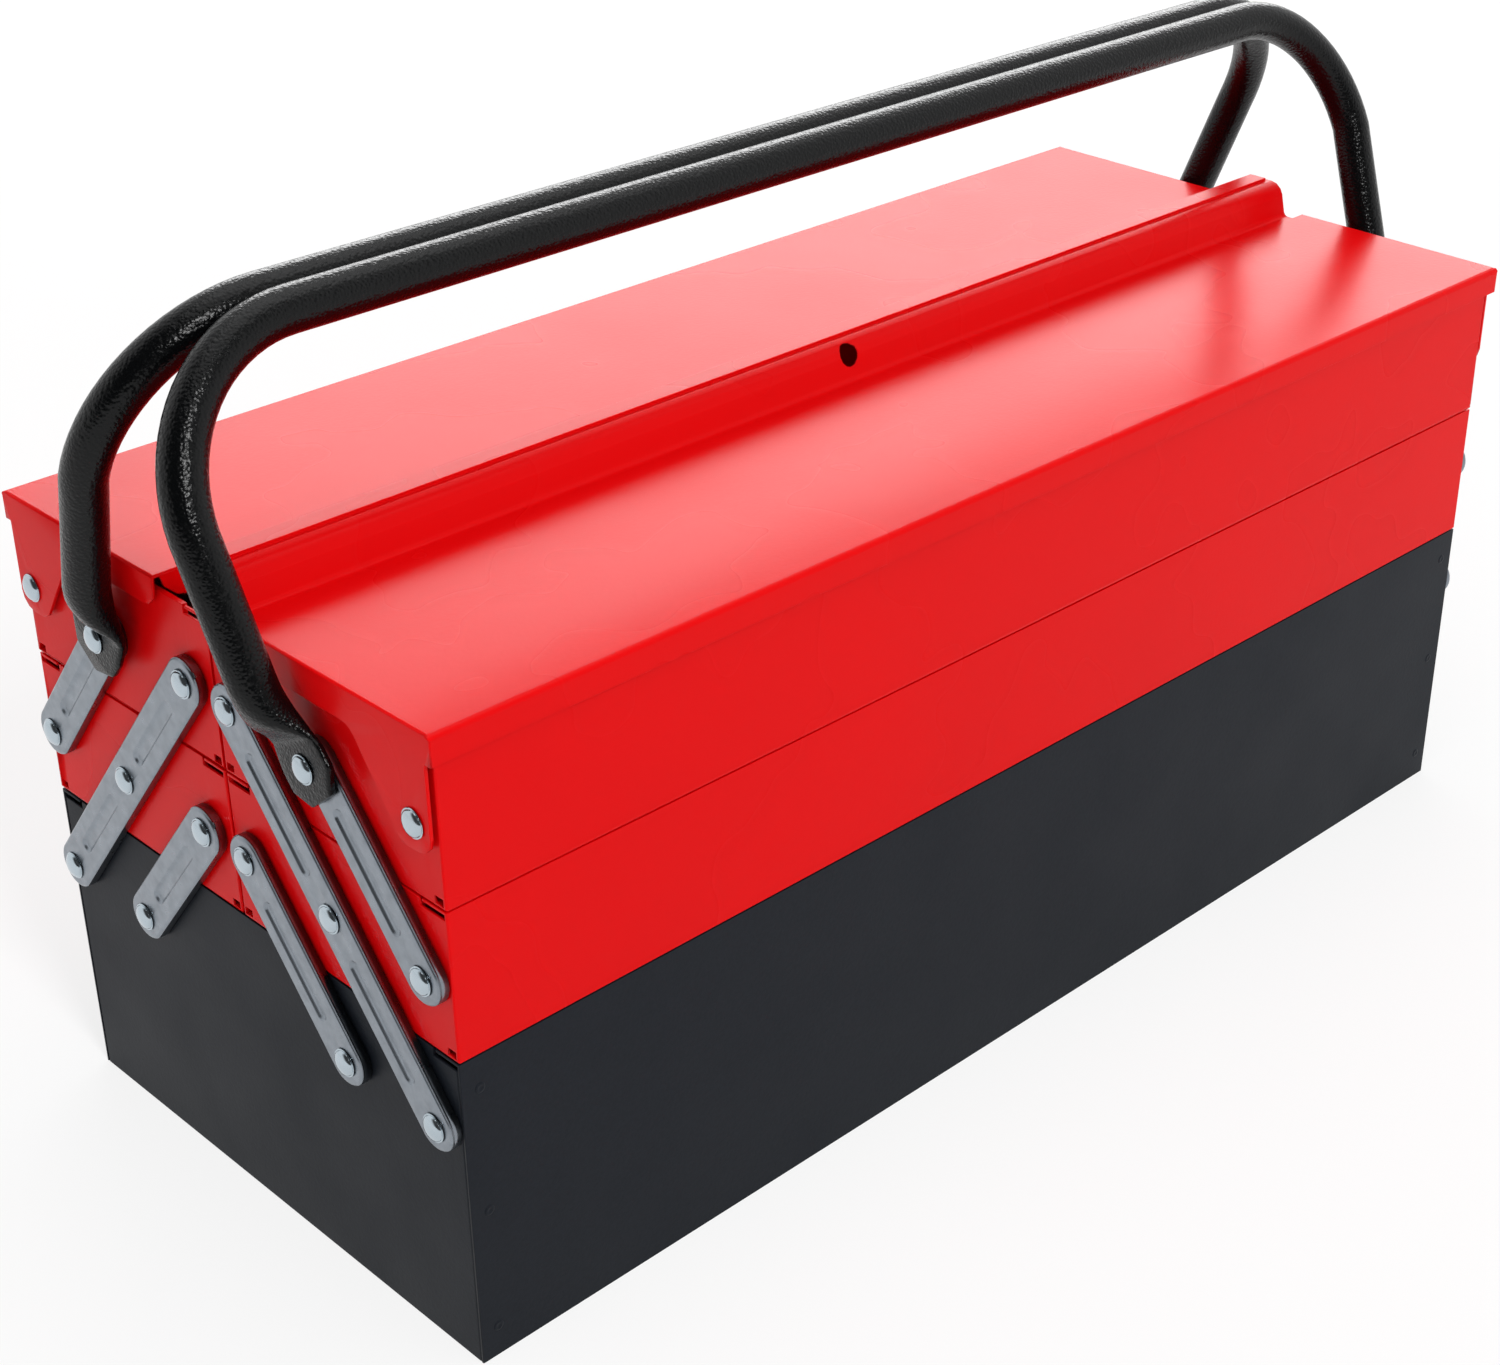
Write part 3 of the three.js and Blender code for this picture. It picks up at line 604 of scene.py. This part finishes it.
def piece(name, bm, finish, slot, *nodes):
    """Links a mesh as a piece that rides on the body of the first CAD node given."""
    mesh = bpy.data.meshes.new(name)
    bm.to_mesh(mesh)
    bm.free()
    mesh.materials.append(finish)
    mesh.shade_smooth()
    made = bpy.data.objects.new(name, mesh)
    bpy.context.scene.collection.objects.link(made)
    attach(made, frame["nodes"][nodes[0]]["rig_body"])
    return made


def level_normals(made):
    """Lets the large faces set the shading, so that flats stay flat up to their rounded edges."""
    weighted = made.modifiers.new("flat faces", "WEIGHTED_NORMAL")
    weighted.mode = "FACE_AREA"
    weighted.weight = 100


def face_width(face):
    """The width of a strip, or about half the width of a square."""
    return 2 * face.calc_area() / face.calc_perimeter()


def is_level(edge):
    return edge.calc_face_angle(0) < LEVEL_ANGLE


def rounding_of(edge, sizes, end_radius):
    """The radius of an edge: the folds across a lid's ends are the softest, then come the other
    folds, and cut edges are only eased by the paint."""
    if not edge.is_convex or min(map(face_width, edge.link_faces)) < NARROW_STRIP:
        return sizes.cut_radius
    if abs(edge.verts[0].co.y - edge.verts[1].co.y) > END_FOLD:
        return end_radius
    return sizes.fold_radius


def folded_sheet(cad_name, finish, slot, sizes, end_radius=0.0):
    """A sheet's faces made whole again, its folds rounded and its cut edges eased."""
    end_radius = end_radius or sizes.fold_radius
    bm = bmesh.new()
    bm.from_mesh(frame["nodes"][cad_name].data)
    bmesh.ops.remove_doubles(bm, verts=bm.verts, dist=0.02 * MM)
    bmesh.ops.dissolve_degenerate(bm, edges=bm.edges, dist=0.01 * MM)
    bmesh.ops.dissolve_limit(bm, angle_limit=LEVEL_ANGLE, verts=bm.verts, edges=bm.edges)
    weight = bm.edges.layers.float.new("bevel_weight_edge")
    for edge in bm.edges:
        # The short edges are those of the holes, which lie under the links and rivets.
        if edge.calc_face_angle(0) < CORNER_ANGLE or edge.calc_length() < HOLE_EDGE:
            continue
        edge[weight] = rounding_of(edge, sizes, end_radius) / end_radius
    # Even triangles keep their shape when the bevel moves the corners of a face with holes.
    bmesh.ops.triangulate(bm, faces=bm.faces)
    inner = [vert for vert in bm.verts if all(map(is_level, vert.link_edges))]
    bmesh.ops.dissolve_verts(bm, verts=inner)
    bmesh.ops.triangulate(bm, faces=bm.faces)
    level = [edge for edge in bm.edges if is_level(edge)]
    bmesh.ops.beautify_fill(bm, faces=bm.faces, edges=level, method="ANGLE")
    made = piece(cad_name + "_sheet", bm, finish, slot, cad_name)
    rounding = made.modifiers.new("folds", "BEVEL")
    rounding.limit_method = "WEIGHT"
    rounding.offset_type = "OFFSET"
    rounding.width = end_radius
    rounding.segments = 3
    rounding.profile = 0.5
    rounding.use_clamp_overlap = False
    level_normals(made)
    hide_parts(cad_name)
    return made


def bridge(bm, lower, upper):
    bmesh.ops.bridge_loops(bm, edges=lower + upper)


def ring(bm, place, radius, sides):
    """A closed ring of edges about the Z of place."""
    verts = bmesh.ops.create_circle(bm, segments=sides, radius=radius, matrix=place)["verts"]
    return list({edge for vert in verts for edge in vert.link_edges})


def ring_verts(edges):
    return list({vert for edge in edges for vert in edge.verts})


def slot_ring(bm, start, end, radius, height, sides=32):
    """A closed ring of edges with straight sides and round ends, along X at a height."""
    turn = Matrix.Rotation(math.pi / sides, 4, "Z")
    edges = ring(bm, Matrix.Translation((start, 0, height)) @ turn, radius, sides)
    far = [vert for vert in ring_verts(edges) if vert.co.x > start]
    bmesh.ops.translate(bm, verts=far, vec=(end - start, 0, 0))
    return edges


def arc(radius, steps):
    """Points of a quarter circle from (0, 0) out and down to (radius, -radius)."""
    turns = [math.pi / 2 * step / steps for step in range(steps + 1)]
    return [(radius * math.sin(t), radius * (math.cos(t) - 1)) for t in turns]


def pressed_link(spans, pitch, depth, sizes):
    """A link pressed from strip, lying along X with its lowest pivot at the origin and its face
    up: a rim all round, a sunken bead in each span and a hole at each pivot."""
    bm = bmesh.new()
    far = spans * pitch
    wide = sizes.end_radius
    under = depth - sizes.sheet
    holes = [pitch * i for i in range(spans + 1)]

    outer = [(wide, 0.0)]
    for out, down in reversed(arc(sizes.shoulder, 4)):
        outer.append((wide - sizes.shoulder + out, depth + down))
    inner = [(wide - sizes.sheet, 0.0), (wide - sizes.sheet, under)]
    loops = {}
    for name, profile in (("outer", outer), ("inner", inner)):
        made = [slot_ring(bm, 0, far, radius, height) for radius, height in profile]
        for lower, upper in zip(made, made[1:]):
            bridge(bm, lower, upper)
        loops[name] = made
    bridge(bm, loops["outer"][0], loops["inner"][0])

    # Each bead rolls over from the face, runs down its flank and turns into a rounded floor.
    face_edges = list(loops["outer"][-1])
    half, sunk = sizes.bead_width / 2, sizes.bead_depth
    steps = [(1.0, 0.0), (0.93, 0.06), (0.82, 0.3), (0.68, 0.68), (0.52, 0.92), (0.3, 1.0)]
    for i in range(spans):
        start = holes[i] + sizes.bead_end + half
        end = holes[i + 1] - sizes.bead_end - half
        made = [slot_ring(bm, start, end, half * s, depth - sunk * d, 24) for s, d in steps]
        for lower, upper in zip(made, made[1:]):
            bridge(bm, lower, upper)
        bmesh.ops.contextual_create(bm, geom=made[-1])
        face_edges += made[0]

    back_edges = list(loops["inner"][-1])
    for place in holes:
        top = ring(bm, Matrix.Translation((place, 0, depth)), sizes.hole_radius, 20)
        bottom = ring(bm, Matrix.Translation((place, 0, under)), sizes.hole_radius, 20)
        bridge(bm, top, bottom)
        face_edges += top
        back_edges += bottom
    for edges, normal in ((face_edges, (0, 0, 1)), (back_edges, (0, 0, -1))):
        bmesh.ops.triangle_fill(bm, use_beauty=True, edges=edges, normal=normal)
    bmesh.ops.recalc_face_normals(bm, faces=bm.faces)
    return bm


def set_link(name, spans, sign, out, sizes, finish):
    """Makes a link from the lowest pivot to the highest one of the CAD link that it stands for."""
    low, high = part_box(name)
    if low.y * high.y < 0:
        raise RuntimeError(f"{name} crosses the middle")
    edge = sizes.end_radius
    outer = max(abs(low.y), abs(high.y)) - edge
    inner = min(abs(low.y), abs(high.y)) + edge
    start = Vector((0, sign * outer, low.z + edge))
    end = Vector((0, sign * inner, high.z - edge))
    reach = (end - start).length
    along = (end - start).normalized()
    across = out.cross(along)
    start.x = min(abs(low.x), abs(high.x)) * out.x
    turn = Matrix((along, across, out)).transposed().to_4x4()
    bm = pressed_link(spans, reach / spans, high.x - low.x, sizes)
    bmesh.ops.transform(bm, matrix=Matrix.Translation(start) @ turn, verts=bm.verts)
    made = piece(name + "_pressing", bm, finish, "link_zinc", name)
    level_normals(made)
    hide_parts(name)


def pivot_of(rivet):
    """Where a rivet stands, and how far out in X it starts and ends."""
    low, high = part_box(rivet)
    middle = (low + high) / 2
    return middle.y, middle.z, min(abs(low.x), abs(high.x)), max(abs(low.x), abs(high.x))


def spun(profile, sides):
    """A solid turned about Z from a profile of radius and height that starts and ends on Z."""
    bm = bmesh.new()
    verts = [bm.verts.new((radius, 0, height)) for radius, height in profile]
    edges = [bm.edges.new(pair) for pair in zip(verts, verts[1:])]
    bmesh.ops.spin(
        bm,
        geom=verts + edges,
        cent=(0, 0, 0),
        axis=(0, 0, 1),
        angle=2 * math.pi,
        steps=sides,
        use_merge=True,
    )
    bmesh.ops.remove_doubles(bm, verts=bm.verts, dist=0.001 * MM)
    bmesh.ops.recalc_face_normals(bm, faces=bm.faces)
    return bm


def rivet(length_over_all, collar, sizes):
    """A rivet along Z with the top of its head at 0: a domed head with a thin brim, the shank,
    a washer-like collar behind the sheet that it holds, and the set tail."""
    head = sizes.rivet_radius
    rise = sizes.rivet_head
    dome = head - sizes.rivet_brim
    edge = 0.3 * MM
    tail = sizes.rivet_tail
    profile = [(0, 0)]
    for step in range(1, 9):
        turn = math.radians(82) * step / 8
        profile.append((dome * math.sin(turn), (rise - edge) * (math.cos(turn) - 1)))
    profile += [
        (dome + 0.06 * MM, -rise + edge),
        (head - 0.12 * MM, -rise + edge),
        (head, -rise + 0.15 * MM),
        (head - 0.05 * MM, -rise),
        (sizes.rivet_shank, -rise),
        (sizes.rivet_shank, -collar[0]),
        (sizes.rivet_collar, -collar[0]),
        (sizes.rivet_collar, -collar[1]),
        (sizes.rivet_shank, -collar[1]),
        (sizes.rivet_shank, -length_over_all + sizes.tail_height),
        (tail, -length_over_all + sizes.tail_height),
        (tail - 0.4 * MM, -length_over_all + edge),
        (tail - 1.0 * MM, -length_over_all),
        (0, -length_over_all),
    ]
    return spun(profile, 32)


def read_between(value, table):
    """Reads a table of (place, size), on a straight line between its rows."""
    if value <= table[0][0]:
        return table[0][1]
    for (a, low), (b, high) in zip(table, table[1:]):
        if value <= b:
            share = (value - a) / (b - a)
            return low + (high - low) * share
    return table[-1][1]


def leg_line(pivot, along, knee, shoulder, sizes):
    """Points down the flattened end, round the turn at its neck and up the leg."""
    tip = -sizes.pad_tip
    line = [pivot + along * tip, pivot + along * (tip + 0.4 * MM)]
    line += [pivot + along * (place * MM) for place in (-4.6, -3.9, -3, 0, 2.4, 3.2, 4.6)]
    neck = pivot + along * sizes.pad_neck
    rise = (knee - neck).normalized()
    below, above = neck - along * 4 * MM, neck + rise * 6 * MM
    for step in range(1, 6):
        t = step / 6
        line.append(below * (1 - t) ** 2 + neck * 2 * t * (1 - t) + above * t**2)
    leg = (shoulder - knee).normalized()
    line += [neck + rise * (place * MM) for place in (8, 10.5, 13, 16)]
    line += [knee + leg * (place * MM) for place in (0, 6, 14, 26, 38)]
    return line


def bend_rings(start, up, radius, sizes):
    """Rings round the bend, an arc in the plane of the leg and the bar, and along half the bar."""
    across = Vector((-1, 0, 0))
    corner = start + up * sizes.leg_reach
    centre = corner + across * sizes.bend - up * sizes.bend
    rings = []
    for step in range(BEND_STEPS + 1):
        turn = math.pi / 2 * step / BEND_STEPS
        spoke = -across * math.cos(turn) + up * math.sin(turn)
        rings.append((centre + spoke * sizes.bend, radius, radius, 1.0))
    last = rings[-1][0]
    middle = Vector((0, last.y, last.z))
    for share in (0.25, 0.5, 0.75):
        rings.append((last.lerp(middle, share), radius, radius, 1.0))
    return rings


def handle_line(side, sizes):
    """The right half of a handle as rings: a centre, half a width, half a thickness and how round
    the section is. It starts at the flattened tip and ends at the middle of the bar."""
    radius = sizes.tube / 2
    flat = sizes.pad_thickness / 2
    pad = sizes.pad_width / 2
    sign = -1 if side == "front" else 1
    low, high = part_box(side + "_handle")
    y, z = pivot_of(side + "_handle_rivet_right")[:2]
    lower_y, lower_z = pivot_of(side + "_handle_link_tray_rivet_right")[:2]
    inner_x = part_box(side + "_handle_link_right")[1].x + sizes.pad_gap
    bar_y = min(abs(low.y), abs(high.y)) + radius
    bar_z = high.z - radius
    arm_x = high.x - radius

    pivot = Vector((0, abs(y), z))
    along = (pivot - Vector((0, abs(lower_y), lower_z))).normalized()
    knee = pivot + Vector((0, -sizes.knee_inward, sizes.knee_rise))
    drop = math.sqrt(sizes.leg_reach**2 - sizes.leg_lean**2)
    shoulder = Vector((0, bar_y + sizes.leg_lean, bar_z - drop))
    neck = pivot + along * sizes.pad_neck
    slope = (arm_x - radius - inner_x) / ((shoulder - knee).length + (knee - neck).length)

    thick = [(place * MM, flat + (radius - flat) * share) for place, share in PAD_OPENS]
    wide = [(place * MM, pad * share) for place, share in PAD_NARROWS]
    wide += [(place * MM, radius * share) for place, share in TUBE_NARROWS]
    square = [(place * MM, power) for place, power in PAD_ROUNDS]
    line = leg_line(pivot, along, knee, shoulder, sizes)
    travelled = -sizes.pad_tip
    rings = []
    before = line[0]
    for point in line:
        travelled += (point - before).length
        before = point
        half = flat * TIP_THINNING if point is line[0] else read_between(travelled, thick)
        x = inner_x + slope * max(travelled - sizes.pad_neck, 0) + max(half, flat)
        centre = Vector((x, point.y, point.z))
        rings.append(
            (centre, read_between(travelled, wide), half, read_between(travelled, square))
        )

    up = (Vector((0, bar_y, bar_z)) - shoulder).normalized()
    rings += bend_rings(Vector((arm_x, shoulder.y, shoulder.z)), up, radius, sizes)
    level = up.cross(Vector((-1, 0, 0))).normalized()
    if level.y < 0:
        level.negate()
    rings = [(Vector((c.x, c.y * sign, c.z)), w, t, s) for c, w, t, s in rings]
    return rings, Vector((level.x, level.y * sign, level.z))


def bent_tube(rings, level, sides=28):
    """A tube carried through its rings, with its two ends closed."""
    bm = bmesh.new()
    made = []
    for n, (centre, wide, thick, square) in enumerate(rings):
        before = rings[max(n - 1, 0)][0]
        after = rings[min(n + 1, len(rings) - 1)][0]
        along = (after - before).normalized()
        width = (level - along * level.dot(along)).normalized()
        depth = along.cross(width)
        edges = ring(bm, Matrix.Identity(4), 1, sides)
        for vert in ring_verts(edges):
            x, y = vert.co.x, vert.co.y
            across = math.copysign(abs(x) ** square, x) * wide
            out = math.copysign(abs(y) ** square, y) * thick
            vert.co = centre + width * across + depth * out
        made.append(edges)
    for lower, upper in zip(made, made[1:]):
        bridge(bm, lower, upper)
    for edges in (made[0], made[-1]):
        bmesh.ops.contextual_create(bm, geom=edges)
    bmesh.ops.recalc_face_normals(bm, faces=bm.faces)
    return bm


def weld_mark(bm, place, sizes):
    """The shallow crater of a spot weld: a soft rim around a flat middle."""
    radius, height = sizes.weld_radius, sizes.weld_height
    rings = [(1.0, -0.15), (0.8, 0.35), (0.62, 1.0), (0.45, 0.8), (0.25, 0.25)]
    made = [
        ring(bm, place @ Matrix.Translation((0, 0, height * h)), radius * r, 20) for r, h in rings
    ]
    for lower, upper in zip(made, made[1:]):
        bridge(bm, lower, upper)
    for edges in (made[0], made[-1]):
        bmesh.ops.contextual_create(bm, geom=edges)


# ---- Operators ----


class TOOLBOX_OT_base(bpy.types.Operator):
    """Make the base: shell, end panels and the marks of the spot welds"""

    bl_idname = "toolbox.base"
    bl_label = "Base"

    def execute(self, context):
        sizes = context.scene.toolbox_sheet_sizes
        finish = charcoal_powder_coat(context.scene.toolbox_finishes.charcoal)
        for name in ("base_shell", "base_end_left", "base_end_right"):
            folded_sheet(name, finish, "base_sheet", sizes)
        low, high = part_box("base_shell")
        bm = bmesh.new()
        for y, turn in ((low.y, math.pi / 2), (high.y, -math.pi / 2)):
            for x in (low.x + sizes.weld_inset, high.x - sizes.weld_inset):
                for share in (0.1, 0.5, 0.9):
                    place = Matrix.Translation((x, y, low.z + (high.z - low.z) * share))
                    weld_mark(bm, place @ Matrix.Rotation(turn, 4, "X"), sizes)
        bmesh.ops.recalc_face_normals(bm, faces=bm.faces)
        piece("base_weld_marks", bm, finish, "base_sheet", "base_shell")
        return {"FINISHED"}


class TOOLBOX_OT_trays(bpy.types.Operator):
    """Make the four trays"""

    bl_idname = "toolbox.trays"
    bl_label = "Trays"

    def execute(self, context):
        sizes = context.scene.toolbox_sheet_sizes
        finish = red_powder_coat(context.scene.toolbox_finishes.red)
        for side in SIDES:
            for tier in ("lower", "upper"):
                folded_sheet(f"{side}_{tier}_tray", finish, "red_sheet", sizes)
        return {"FINISHED"}


class TOOLBOX_OT_lids(bpy.types.Operator):
    """Make the front and rear lids"""

    bl_idname = "toolbox.lids"
    bl_label = "Lids"

    def execute(self, context):
        sizes = context.scene.toolbox_sheet_sizes
        finish = red_powder_coat(context.scene.toolbox_finishes.red)
        for side in SIDES:
            folded_sheet(f"{side}_lid", finish, "red_sheet", sizes, sizes.lid_end_radius)
        return {"FINISHED"}


class TOOLBOX_OT_links(bpy.types.Operator):
    """Make the twelve pressed links"""

    bl_idname = "toolbox.links"
    bl_label = "Links"

    def execute(self, context):
        sizes = context.scene.toolbox_link_sizes
        finish = zinc_plate(context.scene.toolbox_finishes.zinc)
        for side in SIDES:
            sign = -1 if side == "front" else 1
            for kind, spans in LINK_SPANS.items():
                for end in ENDS:
                    out = Vector((-1 if end == "left" else 1, 0, 0))
                    set_link(f"{side}_{kind}_{end}", spans, sign, out, sizes, finish)
        return {"FINISHED"}


class TOOLBOX_OT_rivets(bpy.types.Operator):
    """Make the rivets, eight at each end of each half"""

    bl_idname = "toolbox.rivets"
    bl_label = "Rivets"

    def execute(self, context):
        sizes = context.scene.toolbox_link_sizes
        finish = rivet_plate(context.scene.toolbox_finishes.steel)
        names = [name for name in frame["nodes"] if "_rivet_" in name]
        if len(names) != 32:
            raise RuntimeError(f"expected 32 rivets, found {len(names)}")
        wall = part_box("front_upper_tray")[1].x
        link_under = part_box("front_long_link_right")[1].x - sizes.sheet
        flap_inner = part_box("front_lid")[1].x - sizes.sheet
        for name in sorted(names):
            y, z, tail, top = pivot_of(name)
            held = flap_inner if "_lid_rivet_" in name else link_under
            bm = rivet(top - tail, (top - held, top - wall), sizes)
            out = -1 if name.endswith("_left") else 1
            turn = Matrix.Rotation(out * math.pi / 2, 4, "Y")
            bmesh.ops.transform(
                bm, matrix=Matrix.Translation((out * top, y, z)) @ turn, verts=bm.verts
            )
            made = piece(name + "_set", bm, finish, "rivet_steel", name)
            made.data.set_sharp_from_angle(angle=math.radians(40))
            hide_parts(name)
        return {"FINISHED"}


class TOOLBOX_OT_handles(bpy.types.Operator):
    """Make the two bent tube handles with their flattened ends"""

    bl_idname = "toolbox.handles"
    bl_label = "Handles"

    def execute(self, context):
        sizes = context.scene.toolbox_handle_sizes
        finish = black_textured_coat(context.scene.toolbox_finishes.black)
        for side in SIDES:
            half, level = handle_line(side, sizes)
            other = [(Vector((-c.x, c.y, c.z)), w, t, s) for c, w, t, s in reversed(half)]
            bm = bent_tube(half + other, level)
            made = piece(side + "_handle_tube", bm, finish, "handle_tube", side + "_handle")
            made.data.set_sharp_from_angle(angle=math.radians(50))
            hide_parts(side + "_handle")
        return {"FINISHED"}


def softbox(name, place, aim, width, height, radiance):
    """A rectangular studio light, its strength given as the brightness of its face."""
    lamp = bpy.data.lights.new(name, "AREA")
    lamp.shape = "RECTANGLE"
    lamp.size = width
    lamp.size_y = height
    lamp.energy = radiance * math.pi * width * height
    stand = bpy.data.objects.new(name, lamp)
    stand.location = place
    stand.rotation_euler = (Vector(aim) - Vector(place)).to_track_quat("-Z", "Y").to_euler()
    bpy.context.scene.collection.objects.link(stand)
    return stand


def paper_floor(scene):
    bm = bmesh.new()
    bmesh.ops.create_grid(bm, x_segments=8, y_segments=8, size=6)
    mesh = bpy.data.meshes.new("floor")
    bm.to_mesh(mesh)
    bm.free()
    mesh.materials.append(floor_paper(scene.toolbox_finishes.floor))
    floor = bpy.data.objects.new("floor", mesh)
    scene.collection.objects.link(floor)


def pale_surround():
    """A soft light all round that looks white, with a dim room behind the camera."""
    world = bpy.data.worlds.new("pale_surround")
    world.use_nodes = True
    tree = world.node_tree
    tree.nodes.clear()
    output = node(tree, "ShaderNodeOutputWorld")
    soft = node(tree, "ShaderNodeBackground", {"Color": (1, 1, 1, 1), "Strength": 0.5})
    way = node(tree, "ShaderNodeTexCoord")
    toward = node(
        tree,
        "ShaderNodeVectorMath",
        {0: way.outputs["Generated"], 1: TOWARD_CAMERA},
        operation="DOT_PRODUCT",
    )
    room = node(
        tree,
        "ShaderNodeMapRange",
        {
            "Value": toward.outputs["Value"],
            "From Min": 0.3,
            "From Max": 0.75,
            "To Min": 1.0,
            "To Max": DIM_ROOM,
        },
        interpolation_type="SMOOTHSTEP",
    )
    white = node(
        tree,
        "ShaderNodeBackground",
        {"Color": (1, 1, 1, 1), "Strength": room.outputs["Result"]},
    )
    both = node(
        tree,
        "ShaderNodeMixShader",
        {0: seen(tree), 1: soft.outputs[0], 2: white.outputs[0]},
    )
    tree.links.new(both.outputs[0], output.inputs["Surface"])
    return world


def camera_on_stand(scene):
    camera = bpy.data.cameras.new("camera")
    camera.lens = CAMERA_LENS
    camera.sensor_width = 36
    camera.shift_x, camera.shift_y = CAMERA_SHIFT
    stand = bpy.data.objects.new("camera", camera)
    stand.location = CAMERA_PLACE
    stand.rotation_euler = [math.radians(angle) for angle in CAMERA_TURN]
    scene.collection.objects.link(stand)
    return stand


class TOOLBOX_OT_stage(bpy.types.Operator):
    """Set the stage: floor, soft light, pale surround and camera"""

    bl_idname = "toolbox.stage"
    bl_label = "Stage"

    def execute(self, context):
        scene = context.scene
        paper_floor(scene)
        scene.world = pale_surround()
        for light in SOFTBOXES:
            softbox(*light)
        scene.camera = camera_on_stand(scene)
        scene.view_settings.view_transform = "Standard"
        return {"FINISHED"}


class TOOLBOX_PT_panel(bpy.types.Panel):
    """Lists the toolbox's pieces and their sizes"""

    bl_idname = "TOOLBOX_PT_panel"
    bl_label = "Toolbox"
    bl_space_type = "VIEW_3D"
    bl_region_type = "UI"
    bl_category = "Toolbox"

    def draw(self, context):
        for operator in OPERATORS:
            self.layout.operator(operator.bl_idname)
        for name in SETTINGS:
            group = getattr(context.scene, name)
            column = self.layout.column()
            for key in group.bl_rna.properties.keys():
                if key not in ("rna_type", "name"):
                    column.prop(group, key)


OPERATORS = (
    TOOLBOX_OT_base,
    TOOLBOX_OT_trays,
    TOOLBOX_OT_lids,
    TOOLBOX_OT_links,
    TOOLBOX_OT_rivets,
    TOOLBOX_OT_handles,
    TOOLBOX_OT_stage,
)
SETTINGS = {
    "toolbox_sheet_sizes": ToolboxSheetSizes,
    "toolbox_link_sizes": ToolboxLinkSizes,
    "toolbox_handle_sizes": ToolboxHandleSizes,
    "toolbox_finishes": ToolboxFinishes,
}


def register():
    for group in SETTINGS.values():
        bpy.utils.register_class(group)
    for name, group in SETTINGS.items():
        setattr(bpy.types.Scene, name, PointerProperty(type=group))
    for operator in OPERATORS:
        bpy.utils.register_class(operator)
    bpy.utils.register_class(TOOLBOX_PT_panel)


def unregister():
    bpy.utils.unregister_class(TOOLBOX_PT_panel)
    for operator in reversed(OPERATORS):
        bpy.utils.unregister_class(operator)
    for name, group in reversed(SETTINGS.items()):
        delattr(bpy.types.Scene, name)
        bpy.utils.unregister_class(group)


def main():
    register()
    bpy.ops.toolbox.stage()
    bpy.ops.toolbox.base()
    bpy.ops.toolbox.trays()
    bpy.ops.toolbox.lids()
    bpy.ops.toolbox.links()
    bpy.ops.toolbox.rivets()
    bpy.ops.toolbox.handles()


if __name__ == "__main__":
    main()
